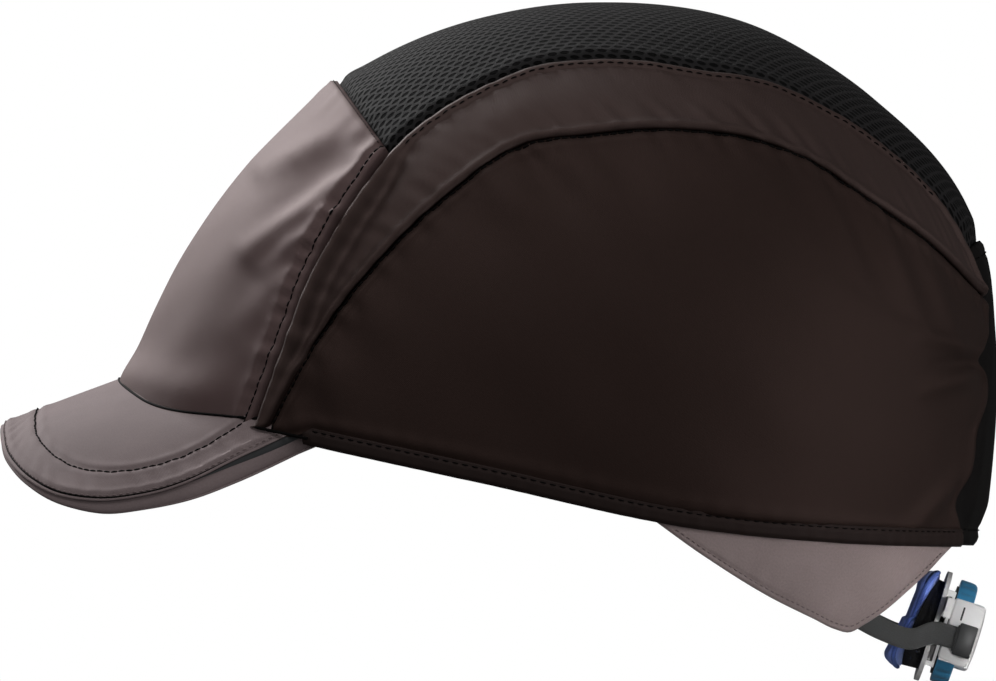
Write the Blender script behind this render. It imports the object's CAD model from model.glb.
import math

import bmesh
import bpy
import numpy as np
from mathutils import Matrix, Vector


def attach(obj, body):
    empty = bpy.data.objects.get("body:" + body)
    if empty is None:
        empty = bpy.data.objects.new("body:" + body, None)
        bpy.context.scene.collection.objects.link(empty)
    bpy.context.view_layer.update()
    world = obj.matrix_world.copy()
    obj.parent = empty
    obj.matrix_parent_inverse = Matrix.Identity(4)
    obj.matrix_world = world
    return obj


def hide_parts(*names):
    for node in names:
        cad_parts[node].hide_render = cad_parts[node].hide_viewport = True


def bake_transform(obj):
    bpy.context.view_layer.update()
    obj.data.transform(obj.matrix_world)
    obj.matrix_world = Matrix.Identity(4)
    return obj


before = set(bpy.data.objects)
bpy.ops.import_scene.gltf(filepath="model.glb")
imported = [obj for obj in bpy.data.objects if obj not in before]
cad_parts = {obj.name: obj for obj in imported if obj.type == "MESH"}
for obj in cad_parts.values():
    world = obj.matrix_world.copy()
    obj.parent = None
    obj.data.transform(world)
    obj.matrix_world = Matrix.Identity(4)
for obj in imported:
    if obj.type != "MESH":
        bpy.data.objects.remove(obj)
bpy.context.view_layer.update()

# Shapes are worked out in millimetres and turned into metres when a mesh is made.
MM = 0.001
ORIGIN = np.array([0.0, 16.0, 0.0])


# ---------------------------------------------------------------- camera, lights and floor

CAMERA_TARGET = Vector((0, -0.0156, 0.0378))
CAMERA_DISTANCE = 6.0
SEEN_WIDTH = 0.2722
SENSOR_WIDTH = 36
FLOOR_RADIUS = 0.3
FLOOR_HEIGHT = -0.062
WHITE = (1, 1, 1, 1)
SURROUND_POWER = 0.09
# Name, place, target, size, power and spread in degrees.
LIGHTS = (
    ("key", (-1.2, -1.0, 1.25), (0, -0.02, 0.04), 0.7, 41, 180),
    ("rear_fill", (0.7, 1.4, 0.02), (0, 0.05, 0.0), 0.6, 10.5, 180),
    ("top_fill", (0.75, -0.35, 1.7), (0, 0.0, 0.03), 1.0, 13, 180),
    ("left_fill", (1.5, -1.1, 0.5), (0, 0.0, 0.02), 0.7, 5, 180),
    ("adjuster_fill", (0.55, 0.22, -0.03), (0.02, 0.107, -0.045), 0.1, 0.009, 14),
)


def show(name, data):
    """New object in the scene."""
    obj = bpy.data.objects.new(name, data)
    bpy.context.scene.collection.objects.link(obj)
    return obj


def make_camera():
    """Long lens at the wearer's left, level with the middle of the cap."""
    data = bpy.data.cameras.new("camera")
    data.sensor_width = SENSOR_WIDTH
    data.lens = SENSOR_WIDTH * CAMERA_DISTANCE / SEEN_WIDTH
    data.clip_end = 100
    camera = show("camera", data)
    camera.location = CAMERA_TARGET + Vector((CAMERA_DISTANCE, 0, 0))
    camera.rotation_euler = (math.radians(90), 0, math.radians(90))
    bpy.context.scene.camera = camera


def add_area_light(name, place, target, size, power, spread):
    """Soft square light that looks at a target."""
    data = bpy.data.lights.new(name, "AREA")
    data.size = size
    data.energy = power
    data.spread = math.radians(spread)
    light = show(name, data)
    light.location = place
    light.rotation_euler = (Vector(target) - Vector(place)).to_track_quat("-Z", "Y").to_euler()


def make_surround():
    """White background that the camera sees, and a dim one that lights the cap."""
    world = bpy.data.worlds.new("surround")
    bpy.context.scene.world = world
    world.use_nodes = True
    tree = world.node_tree
    seen = tree.nodes["Background"]
    seen.inputs["Color"].default_value = WHITE
    lighting = node_value(tree, "ShaderNodeBackground", {"Color": WHITE, "Strength": SURROUND_POWER})
    camera_ray = node_value(tree, "ShaderNodeLightPath", output="Is Camera Ray")
    choice = {0: camera_ray, 1: lighting, 2: Value(tree, seen.outputs[0])}
    feed(tree, tree.nodes["World Output"], {"Surface": node_value(tree, "ShaderNodeMixShader", choice)})


def make_stage():
    """Soft studio light from the upper front, a white surround and a plain pale floor."""
    bpy.context.scene.view_settings.view_transform = "Standard"
    make_surround()
    for light in LIGHTS:
        add_area_light(*light)
    mesh = bpy.data.meshes.new("floor")
    angles = np.linspace(0, 2 * math.pi, 96)[:-1]
    ring = [(FLOOR_RADIUS * math.cos(a), FLOOR_RADIUS * math.sin(a), FLOOR_HEIGHT) for a in angles]
    mesh.from_pydata(ring, [], [list(range(len(ring)))])
    floor = show("floor", mesh)
    material, _ = new_material("floor_paint")
    mesh.materials.append(shaded(material, {"Base Color": (0.9, 0.9, 0.9, 1), "Roughness": 0.8}))
    floor.visible_diffuse = False
    floor.visible_glossy = False


# ---------------------------------------------------------------- materials

class Value:
    """Output of a node, for maths with other outputs and with numbers."""

    def __init__(self, tree, socket):
        self.tree, self.socket = tree, socket

    def maths(self, operation, *others):
        """Math node over this value and some others."""
        return node_value(self.tree, "ShaderNodeMath", dict(enumerate((self, *others))), operation=operation)

    def __add__(self, other):
        return self.maths("ADD", other)

    def __sub__(self, other):
        return self.maths("SUBTRACT", other)

    def __rsub__(self, other):
        return node_value(self.tree, "ShaderNodeMath", {0: other, 1: self}, operation="SUBTRACT")

    def __mul__(self, other):
        return self.maths("MULTIPLY", other)

    def __truediv__(self, other):
        return self.maths("DIVIDE", other)


def add(tree, kind, **settings):
    """New node with some of its properties set."""
    node = tree.nodes.new(kind)
    for key, setting in settings.items():
        setattr(node, key, setting)
    return node


def feed(tree, node, inputs):
    """Inputs of a node, by name or number, linked to values or set to numbers and colours."""
    for key, given in inputs.items():
        if isinstance(given, Value):
            tree.links.new(given.socket, node.inputs[key])
        else:
            node.inputs[key].default_value = given


def node_value(tree, kind, inputs=None, output=0, **settings):
    """One output of a new node whose inputs are fed."""
    node = add(tree, kind, **settings)
    feed(tree, node, inputs or {})
    return Value(tree, node.outputs[output])


NOISE_ROUGHNESS = 0.55


def noise_at(place, scale, detail=3.0):
    """Noise over some coordinates."""
    return node_value(place.tree, "ShaderNodeTexNoise",
                      {"Vector": place, "Scale": scale, "Detail": detail, "Roughness": NOISE_ROUGHNESS})


def ramp(value, *stops):
    """Colour ramp over a value. Stops are (place, colour)."""
    node = add(value.tree, "ShaderNodeValToRGB")
    while len(node.color_ramp.elements) < len(stops):
        node.color_ramp.elements.new(0.5)
    for element, (place, colour) in zip(node.color_ramp.elements, stops):
        element.position = place
        element.color = (*colour, 1)
    feed(value.tree, node, {0: value})
    return Value(value.tree, node.outputs[0])


def bump(height, strength, distance, below=None):
    """Bump over a height, on top of another normal if there is one."""
    inputs = {"Height": height, "Strength": strength, "Distance": distance}
    if below is not None:
        inputs["Normal"] = below
    return node_value(height.tree, "ShaderNodeBump", inputs)


def share_between(value, low, high, **settings):
    """0 to 1 as a value goes from low to high."""
    inputs = {"Value": value, "From Min": low, "From Max": high}
    return node_value(value.tree, "ShaderNodeMapRange", inputs, **settings)


def scaled(colour, factor):
    """A colour made darker or lighter."""
    return tuple(min(1.0, channel * factor) for channel in colour)


def new_material(name):
    """Empty node material and its tree."""
    material = bpy.data.materials.new(name)
    material.use_nodes = True
    return material, material.node_tree


def object_place(tree):
    """Coordinates in the object's own frame."""
    return node_value(tree, "ShaderNodeTexCoord", output="Object")


def cloth_map(tree):
    """The UV that runs in millimetres along the cloth, and its two parts."""
    uv = node_value(tree, "ShaderNodeUVMap", uv_map="cloth")
    split = add(tree, "ShaderNodeSeparateXYZ")
    feed(tree, split, {0: uv})
    return uv, Value(tree, split.outputs[0]), Value(tree, split.outputs[1])


def shaded(material, inputs):
    """Material whose main shader is fed."""
    feed(material.node_tree, material.node_tree.nodes["Principled BSDF"], inputs)
    return material


def ribs(place, pitch):
    """Wave along one part of a UV."""
    return (place * (2 * math.pi / pitch)).maths("SINE")


CLOTH_VARIATION = 0.2
WEAVE_BUMP = 0.35


def woven_cloth(name, colour, thread=0.42, sheen=0.25, roughness=0.85, gloss=0.25, tint=(1.0, 0.8, 0.79)):
    """Plain-woven cloth, satin-like with a high gloss."""
    material, tree = new_material(name)
    uv, across, along = cloth_map(tree)
    threads = ribs(across, thread) * ribs(along, thread)
    slubs = noise_at(uv, 1.6, 2.0)
    cloud = noise_at(object_place(tree), 28.0, 4.0)
    tone = cloud * 0.65 + slubs * 0.35 + threads * 0.05
    return shaded(material, {
        "Base Color": ramp(tone, (0.32, scaled(colour, 1 - CLOTH_VARIATION)), (0.5, colour),
                           (0.7, scaled(colour, 1 + CLOTH_VARIATION))),
        "Roughness": slubs * 0.12 + (roughness - 0.06),
        "Sheen Weight": sheen, "Sheen Roughness": 0.45, "Sheen Tint": (*scaled(colour, 5.0), 1),
        "Specular IOR Level": gloss, "Specular Tint": (*tint, 1),
        "Normal": bump(slubs, 0.25, 0.0001, bump(threads, WEAVE_BUMP, 0.00006))})


def spacer_mesh(name):
    """Black warp-knit mesh with rows of long staggered holes."""
    material, tree = new_material(name)
    uv, across, along = cloth_map(tree)
    hole_pitch, hole_half = (2.0, 3.4), (0.34, 0.36)
    across = across / hole_pitch[0]
    along = along / hole_pitch[1] + across.maths("FLOOR").maths("MODULO", 2.0) * 0.5
    far = [((part.maths("FRACT") - 0.5) / half).maths("ABSOLUTE").maths("POWER", 2.0)
           for part, half in zip((across, along), hole_half)]
    knit = share_between((far[0] + far[1]).maths("SQRT"), 0.7, 1.15, interpolation_type="SMOOTHSTEP")
    height = knit + noise_at(uv, 4.0, 2.0) * 0.25
    return shaded(material, {
        "Base Color": ramp(height, (0.1, (0.0003, 0.0003, 0.0003)), (0.6, (0.0028, 0.0026, 0.0027)),
                           (1.1, (0.0125, 0.0115, 0.0120))),
        "Roughness": 0.92 - knit * 0.2, "Specular IOR Level": 0.12, "Normal": bump(height, 1.0, 0.0009)})


def moulded_plastic(name, colour, roughness=0.42, grain=0.12, coat=0.0):
    """Moulded plastic with a fine grain, faint flow marks and slightly paler rubbed edges."""
    material, tree = new_material(name)
    place = object_place(tree)
    cloud = noise_at(place, 60.0, 3.0)
    edge = share_between(node_value(tree, "ShaderNodeNewGeometry", output="Pointiness"), 0.5, 0.62)
    return shaded(material, {
        "Base Color": ramp(cloud + edge * 0.25, (0.3, scaled(colour, 0.88)), (0.55, colour),
                           (0.95, scaled(colour, 1.25))),
        "Roughness": cloud * 0.18 + (roughness - 0.09), "Coat Weight": coat,
        "Normal": bump(noise_at(place, 2600.0, 2.0), grain, 0.00008)})


def closed_foam(name, colour):
    """Foam with small closed cells."""
    material, tree = new_material(name)
    place = object_place(tree)
    cells = node_value(tree, "ShaderNodeTexVoronoi", {"Scale": 1500.0, "Vector": place}, "Distance")
    tone = cells * 0.5 + noise_at(place, 90.0, 3.0)
    return shaded(material, {
        "Base Color": ramp(tone, (0.4, scaled(colour, 0.75)), (0.7, colour), (1.0, scaled(colour, 1.4))),
        "Roughness": 0.92, "Normal": bump(cells, 0.5, 0.0002)})


def plated_steel(name):
    """Zinc-plated steel with fine turning marks."""
    material, tree = new_material(name)
    marks = noise_at(object_place(tree), 900.0, 3.0)
    return shaded(material, {
        "Base Color": ramp(marks, (0.3, (0.42, 0.43, 0.45)), (0.7, (0.66, 0.67, 0.69))),
        "Metallic": 1.0, "Roughness": 0.32, "Normal": bump(marks, 0.15, 0.00005)})


def elastic_web(name, colour):
    """Elastic with fine ribs across the strap and cords along it."""
    material, tree = new_material(name)
    uv, along, across = cloth_map(tree)
    height = ribs(along, 0.45) + ribs(across, 0.6) * 0.5
    tone = height * 0.05 + noise_at(uv, 2.0)
    return shaded(material, {
        "Base Color": ramp(tone, (0.25, scaled(colour, 0.8)), (0.55, colour), (0.9, scaled(colour, 1.25))),
        "Roughness": 0.8, "Sheen Weight": 0.2, "Normal": bump(height, 0.3, 0.00006)})


def thread_material(name, colour):
    """Twisted sewing thread."""
    material, tree = new_material(name)
    twist = noise_at(object_place(tree), 4000.0, 2.0)
    return shaded(material, {"Base Color": ramp(twist, (0.3, scaled(colour, 0.6)), (0.7, colour)),
                             "Roughness": 0.75, "Specular IOR Level": 0.06})


WOVEN = {
    "front_cloth": dict(colour=(0.047, 0.0295, 0.0285), sheen=0.04, roughness=0.68, gloss=0.95,
                        tint=(1.0, 0.71, 0.70)),
    "band_cloth": dict(colour=(0.0165, 0.0100, 0.0088), sheen=0.02, roughness=0.62, gloss=0.55,
                       tint=(1.0, 0.7, 0.65)),
    "side_cloth": dict(colour=(0.0105, 0.0060, 0.0049), sheen=0.01, roughness=0.62, gloss=0.32,
                       tint=(1.0, 0.65, 0.58)),
    "hem_cloth": dict(colour=(0.0105, 0.0060, 0.0049), sheen=0.01, roughness=0.7),
    "peak_cloth": dict(colour=(0.158, 0.124, 0.125), sheen=0.06, roughness=0.75),
    "flap_cloth": dict(colour=(0.28, 0.222, 0.218), sheen=0.06, roughness=0.75),
    "lining_cloth": dict(colour=(0.11, 0.088, 0.087), sheen=0.2),
    "black_cloth": dict(colour=(0.0052, 0.0053, 0.0052), sheen=0.0, gloss=0.1),
    "band_inner_cloth": dict(colour=(0.012, 0.012, 0.013), thread=0.6, sheen=0.15),
    "blue_cloth": dict(colour=(0.22, 0.34, 0.95), thread=0.5, sheen=0.2, tint=(1.0, 1.0, 1.0)),
    "blue_edge": dict(colour=(0.10, 0.17, 0.55), thread=0.5, sheen=0.1, tint=(1.0, 1.0, 1.0)),
}
MOULDED = {
    "shell_plastic": dict(colour=(0.022, 0.023, 0.025), roughness=0.45, grain=0.25),
    "grey_plastic": dict(colour=(0.80, 0.79, 0.79), roughness=0.38, coat=0.15),
    "teal_plastic": dict(colour=(0.045, 0.25, 0.46), roughness=0.35, coat=0.2),
    "dark_plastic": dict(colour=(0.026, 0.027, 0.028), roughness=0.4),
}
PALETTE = {name: woven_cloth(name, **look) for name, look in WOVEN.items()}
PALETTE.update({name: moulded_plastic(name, **look) for name, look in MOULDED.items()})
PALETTE.update({
    "mesh_cloth": spacer_mesh("mesh_cloth"),
    "elastic": elastic_web("elastic", (0.046, 0.047, 0.047)),
    "dark_thread": thread_material("dark_thread", (0.0022, 0.0017, 0.0017)),
    "trim_thread": thread_material("trim_thread", (0.20, 0.155, 0.155)),
    "foam": closed_foam("foam", (0.010, 0.010, 0.011)),
    "steel": plated_steel("steel"),
})


# ---------------------------------------------------------------- crown surface

CROWN_HEIGHT = 130.5
CROWN_FRONT = 138.5
CROWN_BACK = 104.3
CROWN_SIDE = 95.0
MEAN_LENGTH = (CROWN_FRONT + CROWN_BACK) / 2
# Exponents of the plan curve. A higher one makes it squarer.
FRONT_POWER = 2.3
BACK_POWER = 2.1
# Height of the back's and the sides' bulge, and how much they draw in from there to the nape.
BACK_BULGE, BACK_TUCK = 30, 0.10
SIDE_BULGE, SIDE_TUCK = 25, 0.16


def dome_factor(height, start, power_in, power_out):
    """How far the crown still reaches at a height, as a share of its reach at the start height."""
    rise = np.clip((height - start) / (CROWN_HEIGHT - start), 0, 1)
    return (1 - rise ** power_in) ** (1 / power_out)


def tuck(height, start, amount):
    """How much the crown draws in below its bulge, towards the nape."""
    return 1 - amount * (np.clip(start - height, 0, None) / 75) ** 2


def unscaled(points, inset):
    """Points of an inner layer moved to where they would be on the crown's outer face."""
    grow = np.array([1 - inset / CROWN_SIDE, 1 - inset / MEAN_LENGTH, 1 - inset / CROWN_HEIGHT])
    return ORIGIN + (np.asarray(points, float) - ORIGIN) / grow


def crown_section(points):
    """At some points: the lengthwise term of the crown's plan curve, the curve's power and the side reach."""
    height, along = points[..., 2], points[..., 1] - ORIGIN[1]
    front = CROWN_FRONT * dome_factor(height, 0, 1.6, 2.3)
    back = CROWN_BACK * dome_factor(height, BACK_BULGE, 2.1, 2.1) * tuck(height, BACK_BULGE, BACK_TUCK)
    side = CROWN_SIDE * dome_factor(height, SIDE_BULGE, 2.1, 2.1) * tuck(height, SIDE_BULGE, SIDE_TUCK)
    power = np.where(along > 0, BACK_POWER, FRONT_POWER)
    length = np.maximum(np.where(along > 0, back, front), 1e-6)
    return (np.abs(along) / length) ** power, power, side


def crown_value(points, inset=0.0):
    """Below 1 inside the crown and above 1 outside it."""
    p = unscaled(points, inset)
    lengthwise, power, side = crown_section(p)
    return (np.abs(p[..., 0]) / np.maximum(side, 1e-6)) ** power + lengthwise


def halved(low, high, is_past):
    """Halving search between two bounds for where a test turns true. It gives the last two bounds."""
    for _ in range(40):
        middle = (low + high) / 2
        past = is_past(middle)
        high = np.where(past, middle, high)
        low = np.where(past, low, middle)
    return low, high


def to_crown(points, inset=0.0):
    """Points moved along the line from the crown's centre until they lie on it."""
    way = unit(np.asarray(points, float) - ORIGIN)
    low, high = halved(np.full(way.shape[:-1], 5.0), np.full(way.shape[:-1], 200.0),
                       lambda middle: crown_value(ORIGIN + way * middle[..., None], inset) > 1)
    return ORIGIN + way * ((low + high) / 2)[..., None]


def on_crown(side_points, inset=0.0):
    """Side-view points (y, z) placed on the crown, on the wearer's left."""
    yz = np.asarray(side_points, float)
    p = unscaled(np.insert(yz, 0, 0.0, axis=1), inset)
    lengthwise, power, side = crown_section(p)
    across = side * np.clip(1 - lengthwise, 0, None) ** (1 / power) * (1 - inset / CROWN_SIDE)
    return np.stack([across, yz[:, 0], yz[:, 1]], -1)


# ---------------------------------------------------------------- curves and grids

def unit(vectors):
    """Vectors of length one."""
    return vectors / np.maximum(np.linalg.norm(vectors, axis=-1, keepdims=True), 1e-9)


def run_of(points):
    """Distance along a run of points from its first point."""
    return np.concatenate([[0], np.cumsum(np.linalg.norm(np.diff(points, axis=0), axis=1))])


def at_run(places, run, values):
    """Values that are known along a run, read at some places on it."""
    return np.stack([np.interp(places, run, values[:, k]) for k in range(values.shape[1])], -1)


def smooth_line(points, count):
    """Evenly spaced points on a smooth curve through some points."""
    p = np.asarray(points, float)
    chord = run_of(p)
    fine = np.linspace(0, chord[-1], max(400, count * 4))
    if len(p) > 2:
        slopes = np.gradient(p, chord, axis=0)
        index = np.clip(np.searchsorted(chord, fine, side="right") - 1, 0, len(p) - 2)
        width = (chord[index + 1] - chord[index])[:, None]
        u = (fine - chord[index])[:, None] / width
        start, end = p[index], p[index + 1]
        curve = (2 * u ** 3 - 3 * u ** 2 + 1) * start + (u ** 3 - 2 * u ** 2 + u) * width * slopes[index]
        curve += (-2 * u ** 3 + 3 * u ** 2) * end + (u ** 3 - u ** 2) * width * slopes[index + 1]
    else:
        u = (fine / chord[-1])[:, None]
        curve = p[0] * (1 - u) + p[1] * u
    return even(curve, count)


def even(points, count):
    """A run of points spaced evenly along its length."""
    p = np.asarray(points, float)
    run = run_of(p)
    return at_run(np.linspace(0, run[-1], count), run, p)


def length_of(points):
    """Length of a run of points."""
    return float(np.linalg.norm(np.diff(points, axis=0), axis=1).sum())


def patch(bottom, top, start, end):
    """Grid filled in between four edges: bottom and top run one way, start and end the other."""
    u = np.linspace(0, 1, len(bottom))[:, None, None]
    v = np.linspace(0, 1, len(start))[None, :, None]
    ruled = (1 - v) * bottom[:, None] + v * top[:, None] + (1 - u) * start[None] + u * end[None]
    corners = (1 - u) * (1 - v) * bottom[0] + u * (1 - v) * bottom[-1]
    corners = corners + (1 - u) * v * top[0] + u * v * top[-1]
    return ruled - corners


def run_along(grid, axis):
    """Distance from the first row of a grid, along one of its directions."""
    steps = np.linalg.norm(np.diff(grid, axis=axis), axis=-1)
    total = np.cumsum(steps, axis=axis)
    pad = [(0, 0), (0, 0)]
    pad[axis] = (1, 0)
    return np.pad(total, pad)


def edge_distances(grid):
    """Distance of every grid point from the four edges: start, end, bottom and top."""
    along = run_along(grid, 0)
    up = run_along(grid, 1)
    return along, along[-1:, :] - along, up, up[:, -1:] - up


WAVE_COUNT, WAVE_SPREAD, WAVE_PEAK = 5, 0.35, 3.2
LUMP_COUNT, LUMP_PEAK = 9, 4.5


def waves(seed, place, length):
    """Uneven waves along a run, from -1 to 1, with a mean wavelength."""
    rng = np.random.default_rng(seed)
    total = np.zeros_like(place)
    for _ in range(WAVE_COUNT):
        one = length * (1 + WAVE_SPREAD * (rng.random() * 2 - 1))
        total += np.sin(2 * math.pi * place / one + rng.random() * 7)
    return total / WAVE_PEAK


def lumps(seed, grid, length):
    """Soft random unevenness over a grid, from about -1 to 1."""
    rng = np.random.default_rng(seed)
    total = np.zeros(grid.shape[:-1])
    for _ in range(LUMP_COUNT):
        way = rng.normal(size=3)
        way /= np.linalg.norm(way)
        size = length * (0.7 + 0.8 * rng.random())
        total += np.sin(2 * math.pi * (grid @ way) / size + rng.random() * 7)
    return total / LUMP_PEAK


def bell(distance, middle, width):
    """Bell curve round a distance."""
    return np.exp(-(((distance - middle) / width) ** 2))


# ---------------------------------------------------------------- meshes

def new_object(name, vertices, faces, material, uv=None):
    """Mesh object from millimetre vertices, its faces turned outward. UV is one pair for each vertex."""
    if name in bpy.data.objects:
        name += "_skin"
    mesh = bpy.data.meshes.new(name)
    mesh.from_pydata((np.asarray(vertices) * MM).tolist(), [], [list(map(int, face)) for face in faces])
    mesh.materials.append(PALETTE[material])
    layer = mesh.uv_layers.new(name="cloth")
    if uv is not None:
        loops = np.zeros(len(mesh.loops), int)
        mesh.loops.foreach_get("vertex_index", loops)
        layer.data.foreach_set("uv", np.asarray(uv, np.float32)[loops].ravel())
    mesh.polygons.foreach_set("use_smooth", [True] * len(mesh.polygons))
    mesh.validate()
    work = bmesh.new()
    work.from_mesh(mesh)
    bmesh.ops.recalc_face_normals(work, faces=work.faces)
    work.to_mesh(mesh)
    work.free()
    return show(name, mesh)


def grid_faces(rows, columns, start, flip):
    """Quads of a grid whose vertices are numbered row by row."""
    index = start + np.arange(rows * columns).reshape(rows, columns)
    a, b = index[:-1, :-1].ravel(), index[1:, :-1].ravel()
    c, d = index[1:, 1:].ravel(), index[:-1, 1:].ravel()
    return np.stack([a, d, c, b] if flip else [a, b, c, d], -1)


def sheet_between(name, outer, inner, material):
    """Closed cloth between an outer and an inner grid of one size. Its UV runs along both in millimetres."""
    rows, columns = outer.shape[:2]
    count = rows * columns
    middle = (rows // 2, columns // 2)
    du = outer[middle[0] + 1, middle[1]] - outer[middle]
    dv = outer[middle[0], middle[1] + 1] - outer[middle]
    flip = np.dot(np.cross(du, dv), outer[middle] - inner[middle]) < 0
    index = np.arange(count).reshape(rows, columns)
    rim = np.concatenate([index[:, 0], index[-1, 1:], index[-2::-1, -1], index[0, -2:0:-1]])
    nxt = np.roll(rim, -1)
    # The rim's quads turn the other way from the outer face along the same edge.
    first, second = (rim, nxt) if flip else (nxt, rim)
    side = np.stack([first, second, second + count, first + count], -1)
    faces = [grid_faces(rows, columns, 0, flip), grid_faces(rows, columns, count, not flip), side]
    vertices = np.concatenate([outer.reshape(-1, 3), inner.reshape(-1, 3)])
    uv = np.stack([run_along(outer, 0), run_along(outer, 1)], -1)
    uv = np.concatenate([uv.reshape(-1, 2)] * 2)
    return new_object(name, vertices, np.concatenate(faces), material, uv)


def ring_faces(rings, sides, base=0, closed=False):
    """Quads between rings of points. The two ends are capped unless the last ring leads back to the first."""
    faces = []
    for i in range(rings if closed else rings - 1):
        here, there = base + i * sides, base + (i + 1) % rings * sides
        for k in range(sides):
            beside = (k + 1) % sides
            faces.append((here + k, here + beside, there + beside, there + k))
    if not closed:
        faces.append(tuple(range(base, base + sides))[::-1])
        faces.append(tuple(range(base + (rings - 1) * sides, base + rings * sides)))
    return faces


def tube(name, path, radius, material, sides=8, closed=False):
    """Round tube along a run of points, with capped ends or joined to a loop."""
    p = np.asarray(path, float)
    ahead = unit(np.roll(p, -1, 0) - np.roll(p, 1, 0) if closed else np.gradient(p, axis=0))
    side = unit(np.cross(ahead, p - (p.mean(0) if closed else ORIGIN)))
    up = np.cross(side, ahead)
    angles = np.linspace(0, 2 * math.pi, sides, endpoint=False)
    turn = angles[None, :, None]
    rings = p[:, None] + radius * (np.cos(turn) * side[:, None] + np.sin(turn) * up[:, None])
    uv = None if closed else np.stack([np.repeat(run_of(p), sides), np.tile(angles * radius, len(p))], -1)
    return new_object(name, rings.reshape(-1, 3), ring_faces(len(p), sides, closed=closed), material, uv)


# Share of a stitch's length, share of its thickness and height over the cloth.
STITCH_RINGS = (
    (0.0, 0.35, -0.22), (0.18, 0.85, 0.02), (0.5, 1.0, 0.13), (0.82, 0.85, 0.02), (1.0, 0.35, -0.22))


def stitch_row(name, path, normals, material, pitch=2.7, length=2.0, radius=0.2, sides=6):
    """Row of sewn stitches along a run, each a short raised thread that dives in at its ends."""
    run = run_of(path)
    vertices, faces = [], []
    for number in range(int(run[-1] / pitch)):
        start = number * pitch + pitch * 0.15
        for share, thick, lift in STITCH_RINGS:
            place = start + length * share
            centre, up = at_run(place, run, path), at_run(place, run, normals)
            ahead = at_run(place + 0.4, run, path) - centre
            if np.linalg.norm(ahead) < 1e-6:
                ahead = path[-1] - path[-3]
            side = unit(np.cross(ahead, up))
            centre = centre + up * (lift + 0.04)
            for k in range(sides):
                angle = 2 * math.pi * k / sides
                vertices.append(centre + radius * thick * (math.cos(angle) * side + math.sin(angle) * up))
        faces += ring_faces(len(STITCH_RINGS), sides, number * len(STITCH_RINGS) * sides)
    return new_object(name, vertices, faces, material)


def line_inside(grid, normals, edge, distance):
    """Run over a grid at a distance from one of its edges, with the normals there."""
    if edge in ("bottom", "top"):
        lines, normal_lines = grid, normals
    else:
        lines, normal_lines = grid.transpose(1, 0, 2), normals.transpose(1, 0, 2)
    if edge in ("top", "end"):
        lines, normal_lines = lines[:, ::-1], normal_lines[:, ::-1]
    points, ups = [], []
    for line, ups_line in zip(lines, normal_lines):
        run = run_of(line)
        if run[-1] >= distance * 1.2:
            points.append(at_run(distance, run, line))
            ups.append(at_run(distance, run, ups_line))
    return np.array(points), np.array(ups)


def sew(name, surface, normals, edge, distance, slot, kept=slice(2, -2), thread="dark_thread", **sizes):
    """Stitch row over a surface, at a distance from one of its edges, that rides with the cap."""
    path, ups = line_inside(surface, normals, edge, distance)
    if callable(kept):
        kept = kept(path)
    finish_piece(stitch_row(name, path[kept], ups[kept], thread, **sizes), slot)


def placed_sheet(name, outer, inner, material, slot):
    """Closed cloth or board between two grids that stands for the CAD node of its name."""
    return finish_piece(sheet_between(name, outer, inner, material), slot, name)


def finish_piece(obj, slot, *nodes, body="cap"):
    """A piece rides on its body, takes its slot and stands for its CAD nodes."""
    if nodes:
        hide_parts(*nodes)
    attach(obj, body)
    return obj


def mirrored(points):
    """The same points on the wearer's other side."""
    return np.asarray(points) * np.array([-1.0, 1.0, 1.0])


# ---------------------------------------------------------------- seams in side view, (y, z)

# The arched seams: outer and inner edge of the side bands.
OUTER_SEAM = [(-82, 14.9), (-74.1, 36.3), (-64.8, 59.5), (-52.7, 78.6), (-39.6, 94.5), (-24.1, 105.1),
              (-6, 112.8), (14.5, 114.7), (39.4, 111.4), (57.9, 108.1), (79, 98), (93.5, 87.1),
              (106.9, 72.1), (113.8, 59), (116.8, 49.7)]
INNER_SEAM = [(-77.3, 14.9), (-71.3, 27), (-60.7, 44.2), (-44.8, 63.3), (-26, 80.3), (-8.7, 91.5),
              (6.8, 93.9), (35.5, 95.3), (53, 93.1), (66.7, 88.2), (85.3, 75.9), (103.9, 62.6),
              (116.8, 49.7)]
REAR_SEAM = [(116.8, 49.7), (117, 32), (115, 10), (112.2, -8)]
HEM = [(-150, 27.2), (-66.7, 9.4), (-20, -0.7), (37.4, -12.9), (83.4, -17.3), (106.3, -18.2), (150, -19)]
MESH_CORNER = (-45.1, 89.8)
MESH_TOP_FRONT = (-62, 112)
MESH_REAR_HEIGHT = 62.5
HEM_TALL = 4.6
CLOTH = 1.2  # thickness
# Side-view y of the panels' ends, front to back.
FRONT_FOOT = -83.2
BAND_FRONT = -78.6
SIDE_FRONT, SIDE_REAR = -77.6, 111.2
HEM_FRONT, HEM_REAR = -68.5, 110.2
STITCHES_FRONT, STITCHES_REAR = -41, 104

_hem_line = smooth_line(HEM, 400)


def hem_height(y):
    """Height of the hem's lower edge."""
    return np.interp(y, _hem_line[:, 0], _hem_line[:, 1])


def above_hem(y, rise=0.0):
    """Side-view line that runs over the hem's lower edge."""
    return np.stack([y, hem_height(y) + rise], -1)


# Aimed distance between the points of a grid.
STEP = 1.25


def steps_for(*edges):
    """Number of points that suits the longest of some edges."""
    return int(max(length_of(edge) for edge in edges) / STEP) + 2


def seam_lift(distance, edge_drop=0.75, roll=0.35, width=1.0):
    """Cloth that rolls over at a seam and dips into it."""
    return roll * bell(distance, 2.2, 1.6) - edge_drop * bell(distance, 0, width)


def pucker(seed, place, distance, middle, reach, size, wavelength):
    """Small gathers on a stitched line, strongest at the line."""
    return size * waves(seed, place, wavelength) * bell(distance, middle, reach)


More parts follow.
